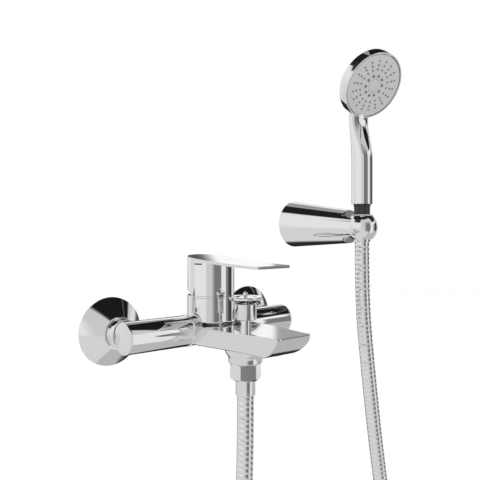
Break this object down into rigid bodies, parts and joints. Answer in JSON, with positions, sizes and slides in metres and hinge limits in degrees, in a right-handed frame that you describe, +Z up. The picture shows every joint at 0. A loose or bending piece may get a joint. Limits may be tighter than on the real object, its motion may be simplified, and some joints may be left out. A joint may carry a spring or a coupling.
{
  "type": "bath mixer",
  "caption": "Wall-mounted bath mixer with a flat spout, single lever, pull-up diverter, metal hose, and a hand shower seated in a conical wall bracket.",
  "frame": {"origin": "midway between the two wall inlets, on the wall plane", "axes": "+Z up, -Y out of the wall towards the user, +X to the right as seen from the front"},
  "size_m": [0.3058, 0.1554, 0.7627],
  "materials": {
    "chrome": "polished",
    "brass": "machined",
    "steel": "satin",
    "black_plastic": "matte",
    "grey_plastic": "satin",
    "white_plastic": "satin",
    "rubber": "matte",
    "soft_grey": "matte"
  },
  "bodies": {
    "mixer": {"wall_union_left": "brass", "wall_union_right": "brass", "inlet_washers": "rubber", "inlet_strainers": "white_plastic", "union_nut_left": "chrome", "union_nut_right": "chrome", "rosette_left": "chrome", "rosette_right": "chrome", "tube_left": "chrome", "tube_right": "chrome", "end_cap_left": "chrome", "end_cap_right": "chrome", "seam_rings": "chrome", "mixer_body": "chrome", "column_ring": "chrome", "cartridge_seals": "rubber", "cartridge_housing": "white_plastic", "cartridge_nut": "brass", "outlet_ring": "chrome", "flow_straightener": "white_plastic", "outlet_washer": "rubber", "diverter_bush": "chrome", "diverter_spring": "steel", "outlet_nipple": "brass", "check_valve": "white_plastic", "hose_washer": "rubber", "hose_ferrule": "chrome", "hose_nut": "chrome", "hose_left": "chrome", "hose_lower": "chrome", "hose_right": "chrome", "bracket_cone": "chrome", "bracket_plate": "white_plastic"},
    "lever_carrier": {"cartridge_carrier": "brass", "stem_pin": "steel"},
    "lever_handle": {"lever": "chrome", "cartridge_stem": "brass", "lever_marker": "black_plastic", "lever_screw": "steel", "lever_plug": "grey_plastic"},
    "diverter": {"diverter_knob": "chrome", "diverter_stem": "chrome", "diverter_valve": "rubber"},
    "shower_holder": {"holder_ball_cup": "chrome", "holder_liner": "grey_plastic", "clamp_bolt": "steel"},
    "hand_shower": {"handset_shell": "chrome", "handle_strip": "chrome", "water_tube": "white_plastic", "handset_neck": "black_plastic", "handset_washer": "rubber", "hose_cone_nut": "chrome", "spray_face": "grey_plastic", "face_centre": "chrome", "nozzles_outer": "soft_grey", "nozzles_inner": "soft_grey"}
  },
  "joints": [
    {"name": "lever_turn", "type": "hinge", "parent": "mixer", "child": "lever_carrier", "pos_m": [0, -0.0392, 0.031], "axis": [0, 0, 1], "range_deg": [-45, 45]},
    {"name": "lever_lift", "type": "hinge", "parent": "lever_carrier", "child": "lever_handle", "pos_m": [0, -0.0392, 0.031], "axis": [-1, 0, 0], "range_deg": [0, 25]},
    {"name": "diverter_pull", "type": "slide", "parent": "mixer", "child": "diverter", "axis": [0, 0, 1], "range_m": [0, 0.008], "stiffness_N_per_m": 150, "springref_m": -0.004, "deforming": ["diverter_spring"]},
    {"name": "holder_tilt", "type": "hinge", "parent": "mixer", "child": "shower_holder", "pos_m": [0.1434, -0.0883, 0.0862], "axis": [1, 0, 0], "range_deg": [-15, 15]},
    {"name": "shower_lift", "type": "slide", "parent": "shower_holder", "child": "hand_shower", "axis": [0, 0, 1], "range_m": [0, 0.06], "deforming": ["hose_right"]}
  ]
}
